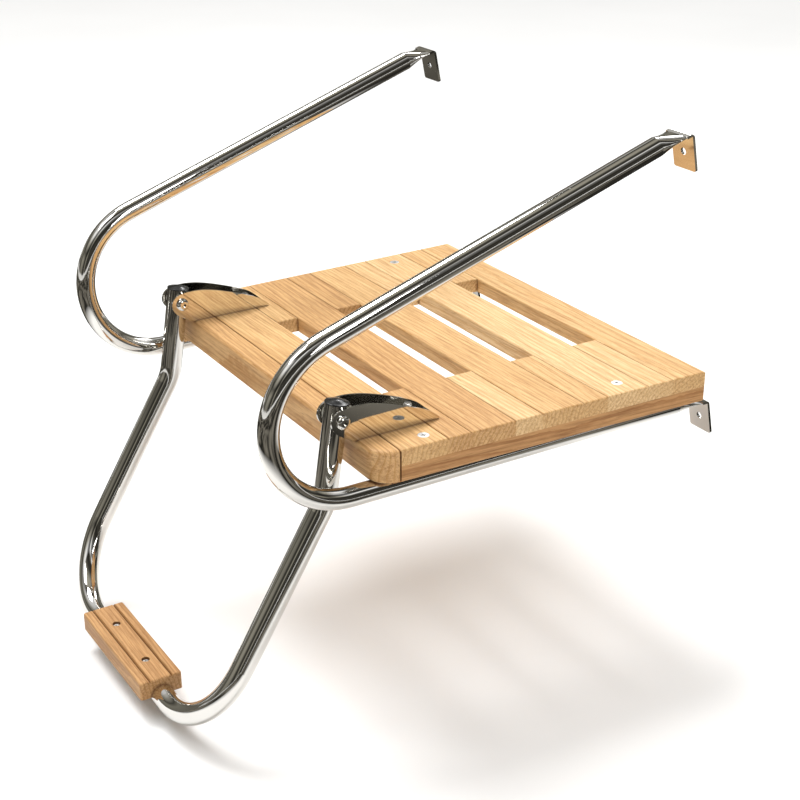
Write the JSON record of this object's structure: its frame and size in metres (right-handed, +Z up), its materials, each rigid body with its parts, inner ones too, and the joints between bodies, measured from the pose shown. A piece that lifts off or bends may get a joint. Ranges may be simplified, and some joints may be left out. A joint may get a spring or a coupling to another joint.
{
  "type": "boat boarding ladder",
  "caption": "Slatted wooden swim platform on two bent polished tube rails, with a folding U-shaped tube ladder and one wooden step.",
  "frame": {"origin": "on the transom plane, midway between the two lower bolt holes", "axes": "+X across the boat to starboard when looking forward, +Y forward towards the transom, +Z up; the transom leans back 11.5 degrees from vertical, its top outboard"},
  "size_m": [0.528, 0.658, 0.6092],
  "materials": {
    "polished_steel": "mirror-polished stainless steel",
    "teak": "sanded and oiled teak",
    "tread_teak": "sanded teak, slightly darker",
    "black_plastic": "glossy black",
    "fastener_steel": "plain stainless steel",
    "nylon": "natural nylon"
  },
  "bodies": {
    "platform": {"front_board": "teak", "slat_1": "teak", "slat_2": "teak", "slat_3": "teak", "slat_4": "teak", "slat_5": "teak", "right_spacer_1": "teak", "right_spacer_2": "teak", "right_spacer_3": "teak", "right_spacer_4": "teak", "left_spacer_1": "teak", "left_spacer_2": "teak", "left_spacer_3": "teak", "left_spacer_4": "teak", "right_cleat": "teak", "left_cleat": "teak", "right_rail": "polished_steel", "left_rail": "polished_steel", "right_hinge_bracket": "polished_steel", "left_hinge_bracket": "polished_steel", "bracket_screws": "fastener_steel", "cleat_screws": "fastener_steel", "deck_bolts": "fastener_steel", "deck_bolt_nuts": "fastener_steel", "right_pivot_bolt": "polished_steel", "left_pivot_bolt": "polished_steel", "right_pivot_nut": "polished_steel", "left_pivot_nut": "polished_steel", "pivot_washers": "nylon"},
    "ladder": {"ladder_frame": "polished_steel", "right_tube_plug": "black_plastic", "left_tube_plug": "black_plastic", "step_tread": "tread_teak", "step_screws": "fastener_steel"}
  },
  "joints": [
    {"name": "ladder_swing", "type": "hinge", "parent": "platform", "child": "ladder", "pos_m": [0, -0.4634, 0.094], "axis": [-1, 0, 0], "range_deg": [0, 242.5]}
  ]
}
